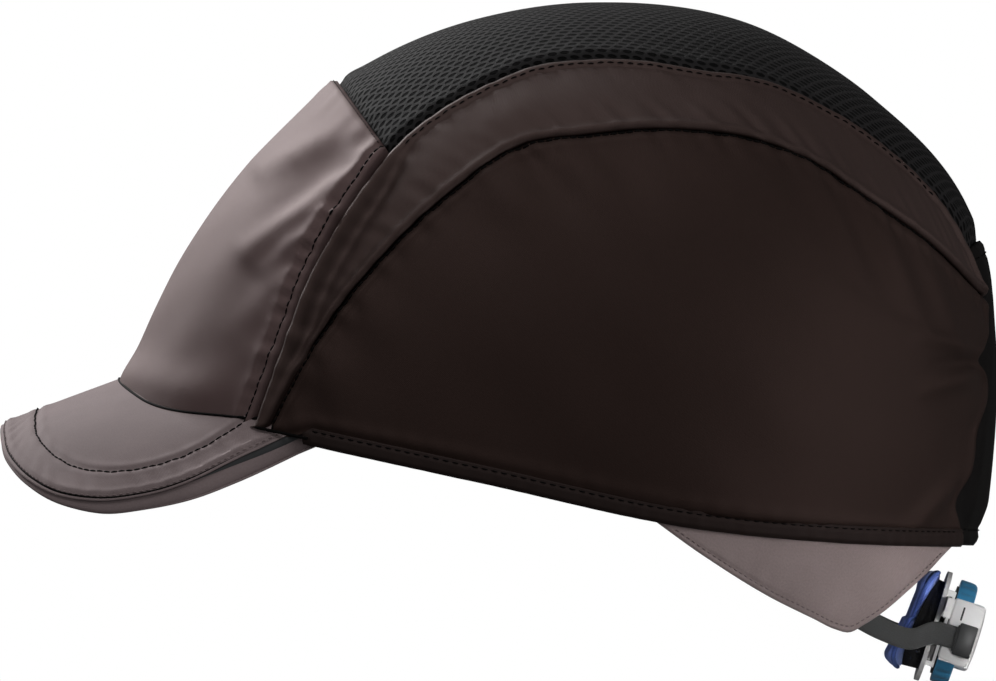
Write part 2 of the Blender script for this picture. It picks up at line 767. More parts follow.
def crown_normals(grid, inset=0.0):
    """Outward unit normals of the crown at the points of a grid."""
    reach = 0.4
    slopes = []
    for axis in range(3):
        shift = np.zeros(3)
        shift[axis] = reach
        slopes.append(crown_value(grid + shift, inset) - crown_value(grid - shift, inset))
    return unit(np.stack(slopes, -1))


def wrap_edge(side_points, count, inset=0.0):
    """Edge that crosses the crown from left to right, along a side-view line that leads past its outline."""
    dense = even(side_points, 6000)
    points = on_crown(dense, inset)
    gone = np.nonzero(points[:, 0] <= 0.01)[0]
    left = points[:gone[0]] if len(gone) else points
    return even(np.concatenate([left, mirrored(left)[::-1]]), count)


WELD_DISTANCE = 1e-6


def weld(obj):
    """Points that lie on each other made one."""
    work = bmesh.new()
    work.from_mesh(obj.data)
    bmesh.ops.remove_doubles(work, verts=work.verts, dist=WELD_DISTANCE)
    bmesh.ops.dissolve_degenerate(work, edges=work.edges, dist=WELD_DISTANCE)
    work.to_mesh(obj.data)
    work.free()


def ridge(grid, start, end, width, height):
    """Long soft fold between two side-view points, fading at its ends."""
    p, a, b = grid[..., 1:], np.asarray(start, float), np.asarray(end, float)
    way = b - a
    share = ((p - a) @ way) / (way @ way)
    near = a + np.clip(share, 0, 1)[..., None] * way
    far = np.linalg.norm(p - near, axis=-1)
    return height * bell(far, 0, width) * np.clip(1.25 - np.abs(share - 0.5) * 1.6, 0, 1)


def smooth_step(value, low, high):
    """0 below low, 1 above high and smooth between them."""
    share = np.clip((value - low) / (high - low), 0, 1)
    return share * share * (3 - 2 * share)


# ---------------------------------------------------------------- crown panels

outer_seam = smooth_line(OUTER_SEAM, 900)
inner_seam = smooth_line(INNER_SEAM, 900)
rear_seam = smooth_line(REAR_SEAM, 400)
front_foot = above_hem(np.array([FRONT_FOOT]))
mesh_corner = outer_seam[np.argmin(np.abs(outer_seam[:, 0] - MESH_CORNER[0]))]
front_seam = np.concatenate([front_foot, outer_seam[outer_seam[:, 0] <= mesh_corner[0]]])
below_mesh = (outer_seam[:, 0] > 100) & (outer_seam[:, 1] < MESH_REAR_HEIGHT)
mesh_seam = outer_seam[(outer_seam[:, 0] >= mesh_corner[0]) & ~below_mesh]
seam_tail = outer_seam[below_mesh]
mesh_rear_line = np.array([mesh_seam[-1], (135, MESH_REAR_HEIGHT)])
front_top_line = np.array([mesh_corner, (MESH_TOP_FRONT[0] - 12, MESH_TOP_FRONT[1] + 17)])


def finish_cloth(name, grid, normals, lift, material, slot, thick=CLOTH):
    """Panel raised off the crown by a lift, closed to a thickness, placed and, with a flat size, declared."""
    outer = grid + normals * lift[..., None]
    inner = grid + normals * (np.minimum(lift, 0.3) * 0.6 - thick)[..., None]
    obj = sheet_between(name, outer, inner, material)
    weld(obj)
    finish_piece(obj, slot, name)
    return outer, obj


def front_panel():
    """Cloth over the forehead, topstitched and gathered along both side seams."""
    low_line = above_hem(np.linspace(FRONT_FOOT, -140, 200))
    side = on_crown(front_seam)
    columns = steps_for(side)
    rows = steps_for(wrap_edge(low_line, 300))
    edges = [wrap_edge(low_line, rows), wrap_edge(front_top_line, rows), even(side, columns)]
    grid = to_crown(patch(edges[0], edges[1], edges[2], mirrored(edges[2])))
    normals = crown_normals(grid)
    d_start, d_end, d_low, d_top = edge_distances(grid)
    lift = -1.2 + 0.45 * lumps(3, grid, 62) + 0.2 * lumps(4, grid, 24) + 1.3 * bell(d_top, 0, 12)
    for seed, d in ((11, d_start), (12, d_end)):
        lift += 0.9 * bell(d, 0, 9) + seam_lift(d, 1.7, 0.6, 1.1) - 1.1 * bell(d, 4.0, 0.9)
        lift += 0.4 * bell(d, 6.6, 2.0)
        lift += pucker(seed, d_low, d, 4.4, 2.6, 0.7, 6.5) + pucker(seed + 5, d_low, d, 8, 6, 0.4, 15)
        lift -= 1.0 * bell(d, 17, 8) * bell(d_low, 52, 26)
    lift += 2.4 * bell(np.maximum(d_low - 6, 0), 0, 8) * smooth_step(np.minimum(d_start, d_end), 4, 32)
    lift += -0.9 * bell(d_top, 0, 0.7) + 0.25 * bell(d_top, 1.3, 0.8)
    lift += pucker(17, d_start, d_top, 4.0, 5.0, 0.25, 11)
    for start, end, width, height in (
            ((-50, 86), (-84, 62), 3.6, 1.4), ((-56, 96), (-80, 84), 3.6, 1.0),
            ((-54, 76), (-80, 58), 3.0, 0.9), ((-66, 66), (-88, 40), 5.0, 0.5)):
        lift += ridge(grid, start, end, width, height) + ridge(mirrored(grid), start, end, width, height)
    outer, _ = finish_cloth("front_panel", grid, normals, lift, "front_cloth", "shell_cloth")
    for edge in ("start", "end"):
        sew("front_topstitch_" + edge, outer, normals, edge, 4.0, "shell_cloth", slice(1, None),
            pitch=2.2, length=2.2, radius=0.36)
    sew("front_top_stitch", outer, normals, "top", 1.0, "shell_cloth", pitch=1.8, length=1.1, radius=0.12)


def mesh_panel():
    """Open spacer mesh over the top and down the back."""
    side = on_crown(mesh_seam)
    front_edge = wrap_edge(front_top_line, 300)
    rows = steps_for(front_edge)
    columns = steps_for(side)
    left = even(side, columns)
    front, rear = wrap_edge(front_top_line, rows), wrap_edge(mesh_rear_line, rows)
    grid = to_crown(patch(front, rear, left, mirrored(left)))
    normals = crown_normals(grid)
    d_start, d_end, d_low, d_top = edge_distances(grid)
    lift = -0.65 + 0.35 * lumps(21, grid, 55) + 2.3 * smooth_step(grid[..., 1], 88, 112)
    lift += 0.5 * smooth_step(-np.abs(grid[..., 1] - 30), -50, -20) - 1.1 * bell(grid[..., 1], 74, 22)
    for seed, d in ((22, d_start), (23, d_end), (24, d_low), (25, d_top)):
        lift += -0.9 * bell(d, 0, 1.6) + 0.3 * bell(d, 4.5, 2.5)
        lift += 0.18 * waves(seed, d_low + d_start, 13) * bell(d, 5, 4)
    lift -= 1.4 * (1 - smooth_step(d_top, 3, 9))
    finish_cloth("mesh_panel", grid, normals, lift, "mesh_cloth", "mesh_cloth")


def rear_panel():
    """Plain black cloth down the nape, between the two side panels."""
    foot = rear_seam[-1] + (rear_seam[-1] - rear_seam[-40]) * (10 / 8)
    foot = np.array([foot[0], hem_height(foot[0])])
    side_yz = np.concatenate([[foot], rear_seam[::-1], seam_tail[::-1]])
    side_yz[:, 0] -= 4.5 * smooth_step(51 - side_yz[:, 1], 0, 9)
    side_yz[0, 1] = hem_height(side_yz[0, 0])
    side = on_crown(side_yz)
    low_line = above_hem(np.linspace(side_yz[0, 0], 140, 200))
    rows = steps_for(wrap_edge(low_line, 200)) + 8
    columns = steps_for(side)
    left = even(side, columns)
    top_line = mesh_rear_line + [[0, 0], [0, 22]]
    grid = to_crown(patch(wrap_edge(low_line, rows), wrap_edge(top_line, rows), left, mirrored(left)))
    normals = crown_normals(grid)
    d_start, d_end, d_low, d_top = edge_distances(grid)
    lift = 0.3 + 0.4 * lumps(31, grid, 38) + 1.7 * (1 - smooth_step(d_top, 4, 28))
    tucked = smooth_step(54 - grid[..., 2], 0, 10)
    past_seam = grid[..., 1] - np.interp(grid[..., 2], rear_seam[::-1, 1], rear_seam[::-1, 0])
    lift -= 2.5 * tucked * (1 - smooth_step(past_seam, 0.0, 1.9))
    for d in (d_start, d_end):
        lift -= 2.6 * (1 - tucked) * (1 - smooth_step(d, 1, 5))
    lift += -0.6 * bell(d_top, 0, 0.7) - 0.25 * bell(d_top, 3.6, 0.6)
    lift += (seam_lift(d_low, 0.5, 0.5) - 0.35 * bell(d_low, HEM_TALL, 0.8)
             - 1.7 * (1 - smooth_step(d_low, 3, 13)))
    lift = np.maximum(lift, -2.3)
    outer, _ = finish_cloth("rear_panel", grid, normals, lift, "black_cloth", "black_cloth")
    sew("rear_hem_stitch", outer, normals, "bottom", HEM_TALL, "black_cloth")
    sew("rear_top_stitch", outer, normals, "top", 3.6, "black_cloth", slice(4, -4))


def kept_side(points):
    """The wearer's left side, as it is."""
    return points


SIDE_TURN = {"left": kept_side, "right": mirrored}
# First of the numbers that seed each side's folds.
SIDE_SEED = {"left": 40, "right": 70}


def side_band(side):
    """Band between the two arched seams, pointed at the back, stitched along both edges."""
    turn, seed = SIDE_TURN[side], SIDE_SEED[side]
    inner_part = np.concatenate([above_hem(np.array([BAND_FRONT]), HEM_TALL * 0.4), inner_seam])
    outer_part = np.concatenate([front_foot + [[0, HEM_TALL * 0.4]], outer_seam])
    rows = steps_for(on_crown(outer_part))
    low = even(on_crown(inner_part), rows)
    top = even(on_crown(outer_part), rows)
    columns = 30
    start = np.linspace(low[0], top[0], columns)
    end = np.repeat(low[-1][None], columns, 0)
    grid = turn(to_crown(patch(low, top, start, end)))
    normals = crown_normals(grid)
    along, _, d_in, d_out = edge_distances(grid)
    width = d_in + d_out
    fade = smooth_step(width, 3, 9)
    at_mesh = smooth_step(grid[..., 1], -48, -38)
    lift = 0.1 + fade * (0.55 * lumps(seed, grid, 58) + 0.2 * lumps(seed + 1, grid, 20))
    lift += 0.8 * smooth_step(grid[..., 1], 88, 112)
    lift += -1.3 * bell(d_out, 0, 0.9) + (0.25 + 0.4 * at_mesh) * bell(d_out, 2.1, 1.5)
    lift -= at_mesh * fade * 0.35 * bell(d_out, 4.0, 0.7)
    lift += (1 - at_mesh) * (1.1 * bell(d_out, 2.3, 1.7) - 1.5 * fade * bell(d_out, 6.8, 2.6))
    lift += fade * pucker(seed + 2, along, d_out, 5.5, 4.5, 0.3, 9)
    lift += -0.5 * bell(d_in, 0, 0.5) + 0.75 * bell(d_in, 1.2, 1.3)
    lift += fade * pucker(seed + 3, along, d_in, 5, 5, 0.32, 8)
    lift += ridge(grid, (20, 104), (45, 103), 6.0, -0.9) + ridge(grid, (-30, 92), (5, 106), 6.0, 0.45)
    outer, _ = finish_cloth("side_band_" + side, grid, normals, lift, "band_cloth", "shell_cloth")
    sew("band_topstitch_" + side, outer, normals, "top", 4.0, "shell_cloth",
        lambda path: (path[:, 1] > STITCHES_FRONT) & (path[:, 1] < STITCHES_REAR))


def side_panel(side, hem):
    """Lens-shaped panel under the inner seam, down to the hem band."""
    turn, seed = SIDE_TURN[side], SIDE_SEED[side]
    y = np.linspace(SIDE_FRONT, SIDE_REAR, 300)
    foot = np.array([SIDE_REAR, hem_height(SIDE_REAR) + HEM_TALL])
    low_yz = above_hem(y, 1.0 + (HEM_TALL - 1.4) * smooth_step(y, -74, -64))
    above_band = inner_seam[:, 1] > hem_height(SIDE_FRONT) + HEM_TALL + 0.5
    top_yz = np.concatenate([[low_yz[0]], inner_seam[above_band]])
    rear_yz = np.concatenate([[foot - [0, 0.4]], rear_seam[rear_seam[:, 1] > foot[1] + 1][::-1]])
    z = rear_yz[:, 1]
    drawn_in = 2.4 * bell(z, 33, 4.5) - 0.6 * bell(z, 24, 5) - 0.5 * bell(z, 42, 5)
    drawn_in += (1.2 * smooth_step(21 - z, 0, 10) + 1.8 * smooth_step(6 - z, 0, 12)
                 - 2.0 * smooth_step(-6 - z, 0, 10))
    rear_yz[:, 0] -= drawn_in
    rows = steps_for(on_crown(top_yz))
    columns = 84
    low = even(on_crown(low_yz), rows)
    top = even(on_crown(top_yz), rows)
    end = even(on_crown(rear_yz), columns)
    end[0], end[-1] = low[-1], top[-1]
    grid = turn(to_crown(patch(low, top, np.repeat(low[0][None], columns, 0), end)))
    normals = crown_normals(grid)
    along, d_rear, d_low, d_in = edge_distances(grid)
    fade = smooth_step(d_low + d_in, 6, 25)
    lift = 0.15 + fade * (0.85 * lumps(seed + 4, grid, 88) + 0.3 * lumps(seed + 5, grid, 30))
    lift += -1.0 * bell(d_in, 0, 1.2) + 0.4 * bell(d_in, 3.2, 1.4)
    lift += fade * (pucker(seed + 6, along, d_in, 3.5, 4, 0.4, 7)
                    + pucker(seed + 7, along, d_in, 13, 12, 0.75, 23))
    lift += fade * 0.5 * waves(seed + 8, d_low, 17) * bell(d_rear, 0, 9) * (1 - bell(d_rear, 0, 1.5))
    lift += (0.9 * bell(d_rear, 0, 3) - 1.0 * bell(d_rear, 0, 0.6)) * fade
    lift += ridge(grid, (98, 39), (116, 35), 2.4, 1.1) + ridge(grid, (99, 24), (116, 29), 2.6, 1.0)
    lift -= ridge(grid, (103, 31), (118, 32.5), 2.0, 1.0)
    lift += ridge(grid, (97, -13), (111, 2), 2.6, 1.5) - ridge(grid, (105, -10), (114, -2), 4.0, 1.1)
    lift += ridge(grid, (88, 78), (106, 30), 8, 0.7)
    lift += ridge(grid, (45, 86), (60, 60), 9, 0.6) + ridge(grid, (-66, 22), (-40, 52), 7, 0.5)
    lift += -0.35 * bell(d_low, 0.5, 1.2) + 0.3 * bell(d_low, 3.2, 2.0)
    lift += pucker(seed + 9, along, d_low, 2.5, 3, 0.12, 7)
    outer, _ = finish_cloth("side_panel_" + side, grid, normals, lift, "side_cloth", "side_cloth")
    sew("side_stitch_" + side, outer, normals, "top", 1.3, "side_cloth",
        lambda path: path[:, 1] < STITCHES_REAR, pitch=2.2, length=2.2, radius=0.4)


def hem_band(side):
    """Doubled band along the lower edge, with its stitches."""
    turn, seed = SIDE_TURN[side], SIDE_SEED[side]
    y = np.linspace(HEM_FRONT, HEM_REAR, 600)
    low, high = on_crown(above_hem(y)), on_crown(above_hem(y, HEM_TALL + 0.4))
    rows = steps_for(low)
    low, high = even(low, rows), even(high, rows)
    share = np.linspace(0, 1, 14)[None, :, None]
    grid = turn(to_crown(low[:, None] * (1 - share) + high[:, None] * share))
    normals = crown_normals(grid)
    along, _, d_low, d_high = edge_distances(grid)
    lift = 0.75 - 0.7 * bell(d_low, 0, 0.7) - 0.45 * bell(d_high, 0, 0.6)
    lift += (-0.3 * bell(d_high, 0.9, 0.5) + 0.12 * waves(seed + 10, along, 6)
             + 0.12 * waves(seed + 11, along, 17))
    lift -= 0.9 * (1 - smooth_step(grid[..., 1], -68, -58))
    outer, band = finish_cloth("hem_band_" + side, grid, normals, lift, "hem_cloth", "side_cloth", thick=1.5)
    sew("hem_stitch_" + side, outer, normals, "top", 0.9, "side_cloth")
    return band


# ---------------------------------------------------------------- nape flaps

# Lower edge in side view, (y, z).
FLAP_EDGE = [(24, -9), (40, -20.4), (58, -31.6), (70, -37.6), (75.5, -40.3), (79.3, -41.2), (83.5, -39),
             (97, -28.5), (109.5, -17)]


def nape_flap(side):
    """Soft flap that hangs inside the hem and comes to a rounded point, lined and edge-stitched."""
    turn = SIDE_TURN[side]
    low = on_crown(smooth_line(FLAP_EDGE, 400), 1.5)
    y = np.linspace(FLAP_EDGE[0][0], FLAP_EDGE[-1][0] - 0.8, 300)
    high = on_crown(above_hem(y, 5.5), 1.5)
    rows = steps_for(low)
    columns = 34
    low, high = even(low, rows), even(high, rows)
    grid = turn(to_crown(patch(low, high, np.linspace(low[0], high[0], columns),
                               np.linspace(low[-1], high[-1], columns)), 1.5))
    normals = crown_normals(grid, 1.5)
    along, _, d_low, _ = edge_distances(grid)
    below = smooth_step(-(grid[..., 2] - hem_height(grid[..., 1])), 1.0, 7.0)
    lift = below * (0.5 * lumps(90, grid, 45) + 0.3) - 0.4 * bell(d_low, 0, 0.6)
    lift += below * (-0.35 * bell(d_low, 1.9, 0.7) + pucker(91, along, d_low, 4, 3.5, 0.12, 7))
    outer = grid + normals * lift[..., None]
    inner = grid - normals * 1.15
    flap = placed_sheet("nape_flap_" + side, outer, inner, "flap_cloth", "trim_cloth")
    sew("flap_stitch_" + side, outer, normals, "bottom", 1.9, "trim_cloth",
        lambda path: path[:, 2] < hem_height(path[:, 1]) - 0.5, "trim_thread",
        pitch=1.8, length=1.3, radius=0.16)
    lining_outer = grid - normals * 1.25
    lining = placed_sheet("flap_lining_" + side, lining_outer[:, 2:],
                          lining_outer[:, 2:] - normals[:, 2:] * 0.45, "lining_cloth", "trim_cloth")


# ---------------------------------------------------------------- peak

# Half of the rim in plan, (x, y).
PEAK_RIM = [(76.5, -62), (78.5, -86), (78.6, -97), (77, -110), (73.5, -124), (66, -136.4), (57, -143.5),
            (44, -148.8), (25, -151), (0, -151.2)]
# Arch radius and depth below the top of each face: top cover, board's top and underside, under cover.
PEAK_FACES = ((109.0, 0.0), (108.3, 0.7), (104.7, 2.1), (104.0, 2.8))
PEAK_SLOPE = math.radians(20.5)
PEAK_ROOT = np.array([0.0, -120.2, 27.0])
PEAK_DOWN = np.array([0.0, math.sin(PEAK_SLOPE), -math.cos(PEAK_SLOPE)])
PEAK_AHEAD = np.array([0.0, -math.cos(PEAK_SLOPE), -math.sin(PEAK_SLOPE)])


def on_peak(plan, face=0, sink=0.0):
    """Plan points (x, y) on one of the peak's arched faces. The upper ones lift towards the hem at the sides,
    and the lower ones rise a little towards the front, so that the peak is thinnest there."""
    radius, depth = PEAK_FACES[face]
    x, y = plan[..., 0], plan[..., 1]
    drop = depth + sink + radius - np.sqrt(radius ** 2 - x ** 2)
    ahead = (PEAK_ROOT[1] + drop * math.sin(PEAK_SLOPE) - y) / math.cos(PEAK_SLOPE)
    top = PEAK_ROOT + ahead[..., None] * PEAK_AHEAD + drop[..., None] * PEAK_DOWN
    if face < 2:
        bend = 2.6 * smooth_step(np.abs(x), 42, 74) * smooth_step(y, -112, -82)
    else:
        bend = 0.9 * smooth_step(-y, 118, 138)
    return top + np.stack([x, np.zeros_like(x), bend], -1)


def peak_normals(plan, face=0):
    """Upward normals of one of the peak's faces."""
    lean = plan[..., 0] / PEAK_FACES[face][0]
    up = np.sqrt(1 - lean ** 2)
    return np.stack([lean, -PEAK_DOWN[1] * up, -PEAK_DOWN[2] * up], -1)


def peak_plan_grid():
    """Plan grid from the crown's front out to the peak's rim, and the distance from the rim."""
    rows, columns = 190, 64
    half = smooth_line(PEAK_RIM, 300)
    rim = even(np.concatenate([half, (half * [-1, 1])[::-1]]), rows)
    x = np.sin(np.linspace(1, -1, rows) * math.pi / 2) * 75.2
    low, _ = halved(np.full(rows, -150.0), np.full(rows, -20.0),
                    lambda middle: crown_value(on_peak(np.stack([x, middle], -1))) <= 1)
    root = np.stack([x, low + 2.3], -1)
    share = np.linspace(0, 1, columns)[None, :, None]
    root = even(root, rows)
    grid = root[:, None] * (1 - share) + rim[:, None] * share
    run = run_along(on_peak(grid), 1)
    return grid, run[:, -1:] - run


def peak():
    """Short arched peak: stitched top cover, a rolled edge that deepens at the sides, and an under cover."""
    plan, d_rim = peak_plan_grid()
    normals = peak_normals(plan)
    surface = on_peak(plan)
    along = run_along(surface, 0)
    d_root = run_along(surface, 1)
    at_side = smooth_step(np.abs(plan[..., 0]), 40, 70)
    surface[..., 2] += 1.0 * at_side * (1 - smooth_step(d_root / (d_root + d_rim), 0, 0.8))
    lift = -1.1 * bell(d_rim, 0, 0.8) + 0.3 * bell(d_rim, 2.6, 1.2) - 0.25 * bell(d_rim, 1.5, 0.4)
    lift += -0.35 * bell(d_rim, 11.0, 0.7) + 0.18 * bell(d_rim, 12.8, 1.2) + 0.16 * bell(d_rim, 9.0, 1.2)
    lift += 0.2 * waves(95, along, 7) * bell(d_rim, 4, 4) + 0.15 * waves(94, along, 9) * bell(d_rim, 11, 3)
    lift += 0.3 * lumps(96, surface, 34) * smooth_step(d_rim, 0, 8)
    outer = surface + normals * lift[..., None]
    inner = on_peak(plan, 0, 0.6)
    cover = placed_sheet("peak_top_cover", outer, inner, "peak_cloth", "trim_cloth")
    sew("peak_rim_stitch", outer, normals, "top", 1.5, "trim_cloth", slice(4, -4), "trim_thread",
        pitch=1.9, length=1.4)
    sew("peak_stitch", outer, normals, "top", 11.0, "trim_cloth", pitch=2.2, length=2.3, radius=0.26)
    across = np.abs(plan[:, 0, 0])
    ahead = 1.5 + 3.0 * (1 - smooth_step(across, 38, 66))
    root = outer[:, 0] + unit(outer[:, 1] - outer[:, 0]) * ahead[:, None]
    left = on_crown(above_hem(np.linspace(-67, -81, 30), 1.9), -1.2)
    root = root[np.abs(root[:, 0]) < 73]
    line = np.concatenate([left, root, mirrored(left)[::-1]])
    finish_piece(tube("peak_root_crease", even(line, 260), 0.42, "dark_thread"), "trim_cloth")
    inside = plan[:, :-3]
    placed_sheet("peak_board", on_peak(inside, 1), on_peak(inside, 2), "shell_plastic", "shell_plastic")
    low_normals = peak_normals(plan, 3)
    lift = -0.9 * bell(d_rim, 0, 0.9) + 0.15 * bell(d_rim, 2.6, 1.2) - 0.2 * bell(d_rim, 4.0, 0.5)
    lower = on_peak(plan, 3) - low_normals * lift[..., None]
    under = placed_sheet("peak_under_cover", on_peak(plan, 2)[:, :-1], lower[:, :-1],
                         "peak_cloth", "trim_cloth")
    sew("peak_under_stitch", lower[:, :-1], -low_normals[:, :-1], "top", 4.0, "trim_cloth", slice(6, -6))
    rim_top, rim_low = on_peak(plan[:, -1], 0, 0.4), on_peak(plan[:, -1], 3)
    outward = unit(rim_top - on_peak(plan[:, -4], 0, 0.4))
    profile = [(-0.1, -2.4), (0.05, -1.9), (0.14, -1.7), (0.24, -1.2), (0.38, -0.5), (0.55, -0.1),
               (0.72, -0.1), (0.86, -0.45), (0.96, -1.0), (1.0, -1.7), (1.0, -2.6)]
    face = np.stack([rim_top * (1 - down) + rim_low * down + outward * out for down, out in profile], 1)
    placed_sheet("peak_edge_piping", face, face - outward[:, None] * 0.6, "peak_cloth", "trim_cloth")
    crease = rim_top * 0.9 + rim_low * 0.1 - outward * 1.4
    finish_piece(tube("peak_crease", crease[4:-4], 0.38, "dark_thread"), "trim_cloth")


# ---------------------------------------------------------------- inside: sweatband and pads

# The inner shell's inner face lies this far inside the crown's outer face.
SHELL_INSET = 5.3


def pillow(name, grid, inset, thick, material, edge=3.0, bulge=0.0):
    """Pad on the inner side of the shell: rounded edges and a soft swell."""
    normals = crown_normals(grid, inset)
    start, end, low, high = edge_distances(grid)
    near = np.minimum(np.minimum(start, end), np.minimum(low, high))
    round_off = rounded_edge(near, edge)
    swell = bulge * smooth_step(near, 0, 14)
    outer = grid - normals * (thick * 0.35 * (1 - round_off))[..., None]
    inner = grid - normals * (thick * (0.35 + 0.65 * round_off) + swell)[..., None]
    obj = sheet_between(name, outer, inner, material)
    weld(obj)
    return obj, inner, -normals


def rounded_square(rows, columns, power):
    """Square grid from -1 to 1, how far out each point lies, and the factor that rounds its corners."""
    u, v = np.meshgrid(np.linspace(-1, 1, rows), np.linspace(-1, 1, columns), indexing="ij")
    square = np.maximum(np.abs(u), np.abs(v))
    radius = (np.abs(u) ** power + np.abs(v) ** power) ** (1 / power)
    return u, v, square, np.where(radius > 1e-9, square / np.maximum(radius, 1e-9), 1.0)


def rounded_edge(near, edge):
    """0 at an edge and 1 further in than its rounding, on a quarter circle."""
    return np.sqrt(np.clip(1 - (1 - np.clip(near / edge, 0, 1)) ** 2, 0, 1))


PAD_POWER = 5.0
PAD_THICK = 3.7
# The axis that a pad faces and its sense, its half sizes, its grid's steps and its centre in the other axes.
PADS = {
    "crown_pad": (2, 1, (33.5, 49), (40, 56), (0, 16)),
    "front_pad": (1, -1, (41.5, 16.5), (48, 24), (0, 69)),
    "rear_pad": (1, 1, (29.5, 21.5), (36, 28), (0, 52)),
    "side_pad_left": (0, 1, (47.5, 22.5), (54, 30), (14, 59)),
    "side_pad_right": (0, -1, (47.5, 22.5), (54, 30), (14, 59)),
}


def shell_pads():
    """Five foam pads under the shell, each dropped straight onto its own patch of the crown."""
    for name, (axis, sense, half, steps, centre) in PADS.items():
        u, v, _, factor = rounded_square(*steps, PAD_POWER)
        flat = np.stack([u * factor * half[0] + centre[0], v * factor * half[1] + centre[1]], -1)

        def moved(distance):
            return np.insert(flat, axis, ORIGIN[axis] + sense * distance, axis=-1)

        low, _ = halved(np.zeros(u.shape), np.full(u.shape, 150.0),
                        lambda middle: crown_value(moved(middle), SHELL_INSET) > 1)
        pad, _, _ = pillow(name, moved(low), SHELL_INSET, PAD_THICK, "foam", bulge=0.3)
        finish_piece(pad, "foam", name)


def sweatband():
    """Padded band round the head opening, open at the nape, stitched near both edges."""
    y = np.linspace(107.5, -140, 3000)
    edges = [wrap_edge(above_hem(y, rise), 420, SHELL_INSET) for rise in (1.7, 23.5)]
    share = np.linspace(0, 1, 26)[None, :, None]
    grid = to_crown(edges[0][:, None] * (1 - share) + edges[1][:, None] * share, SHELL_INSET)
    obj, inner, ups = pillow("sweatband", grid, SHELL_INSET, 1.7, "band_inner_cloth", edge=2.0, bulge=0.15)
    finish_piece(obj, "black_cloth", "sweatband")
    for number, edge in enumerate(("bottom", "top")):
        sew("sweatband_stitch_%d" % number, inner, ups, edge, 3.0, "black_cloth", slice(3, -3))


# ---------------------------------------------------------------- adjuster

ADJUSTER_LEAN = math.radians(-107.7)
ADJUSTER_PLACE = np.array([0.0, 103.9, -40.4])
ADJUSTER_DOWN = np.array([0.0, math.cos(ADJUSTER_LEAN), math.sin(ADJUSTER_LEAN)])
ADJUSTER_OUT = np.array([0.0, -math.sin(ADJUSTER_LEAN), math.cos(ADJUSTER_LEAN)])
ACROSS = np.array([1.0, 0.0, 0.0])


def at_adjuster(points):
    """Points across, down and out from the dial's axis, placed in the cap's frame."""
    p = np.asarray(points, float)
    return ADJUSTER_PLACE + p[..., :1] * ACROSS + p[..., 1:2] * ADJUSTER_DOWN + p[..., 2:] * ADJUSTER_OUT


def turned_shape(name, profile, steps, material, scallops, depth, scalloped):
    """Closed ring turned round the dial's axis from a profile (radius, height), some of its rows scalloped."""
    angles = np.linspace(0, 2 * math.pi, steps, endpoint=False)
    waved = depth * (0.5 - 0.5 * np.cos(angles * scallops)) ** 1.5
    rows = []
    for radius, height in profile:
        reach = radius - waved if scalloped(radius, height) else np.full(steps, float(radius))
        rows.append(np.stack([reach * np.cos(angles), reach * np.sin(angles), np.full(steps, height)], -1))
    points = at_adjuster(np.array(rows))
    return new_object(name, points.reshape(-1, 3), ring_faces(len(rows), steps, closed=True), material)


def round_corner(centre, radius, start, end, steps=5):
    """Points of an arc in a profile, angles in degrees."""
    angles = np.radians(np.linspace(start, end, steps))
    return [(centre[0] + radius * math.cos(a), centre[1] + radius * math.sin(a)) for a in angles]


def dial():
    """Teal cup of the dial with soft scallops, and the ribbed grey grip on it."""
    outside = [(13.1, 3.05)] + round_corner((14.15, 3.25), 0.3, -90, 0, 3)
    outside += [(14.45, 4.2), (14.45, 5.4), (14.4, 6.2)] + round_corner((12.9, 6.5), 1.45, 0, 90, 7)
    outside += [(10.8, 8.0), (9.9, 7.85), (8.0, 7.8), (1.75, 7.8)]
    inside = [(1.75, 6.5), (7.0, 6.5), (12.6, 6.5), (12.95, 6.2), (13.0, 4.5)]
    skirt = turned_shape("dial_skirt", outside + inside, 288, "teal_plastic", 24, 0.35,
                         lambda radius, height: radius > 13.8 and height > 3.5)
    finish_piece(skirt, "teal_plastic", "dial_skirt", body="dial")
    outside = [(9.0, 7.9), (9.25, 8.2), (9.3, 9.4), (9.25, 10.6)] + round_corner((8.2, 10.9), 1.0, 10, 85, 6)
    outside += [(6.8, 12.05), (5.4, 12.2), (4.2, 12.2), (3.65, 12.05), (3.4, 11.8), (3.35, 11.2),
                (3.35, 10.35)]
    inside = [(1.75, 10.3), (1.75, 7.9)]
    hub = turned_shape("dial_hub", outside + inside, 320, "grey_plastic", 20, 0.85,
                       lambda radius, height: radius > 8.2)
    finish_piece(hub, "grey_plastic", "dial_hub", body="dial")


def apply_modifiers(obj):
    """Turn an object's modifiers into its mesh."""
    bpy.ops.object.select_all(action="DESELECT")
    obj.select_set(True)
    bpy.context.view_layer.objects.active = obj
    for modifier in list(obj.modifiers):
        bpy.ops.object.modifier_apply(modifier=modifier.name)


def extruded(name, outline, low, high, sign, material, radius):
    """Plate with rounded edges from an outline (down, out), between two distances across."""
    count = len(outline)
    points = [(sign * low, y, z) for y, z in outline] + [(sign * high, y, z) for y, z in outline]
    faces = [list(range(count)), list(range(count, 2 * count))[::-1]]
    faces += [[k, (k + 1) % count, (k + 1) % count + count, k + count] for k in range(count)]
    obj = new_object(name, at_adjuster(points), faces, material)
    bevel = obj.modifiers.new("bevel", "BEVEL")
    bevel.width = radius * MM
    bevel.segments = 2
    bevel.limit_method = "ANGLE"
    bevel.angle_limit = math.radians(25)
    apply_modifiers(obj)
    return obj


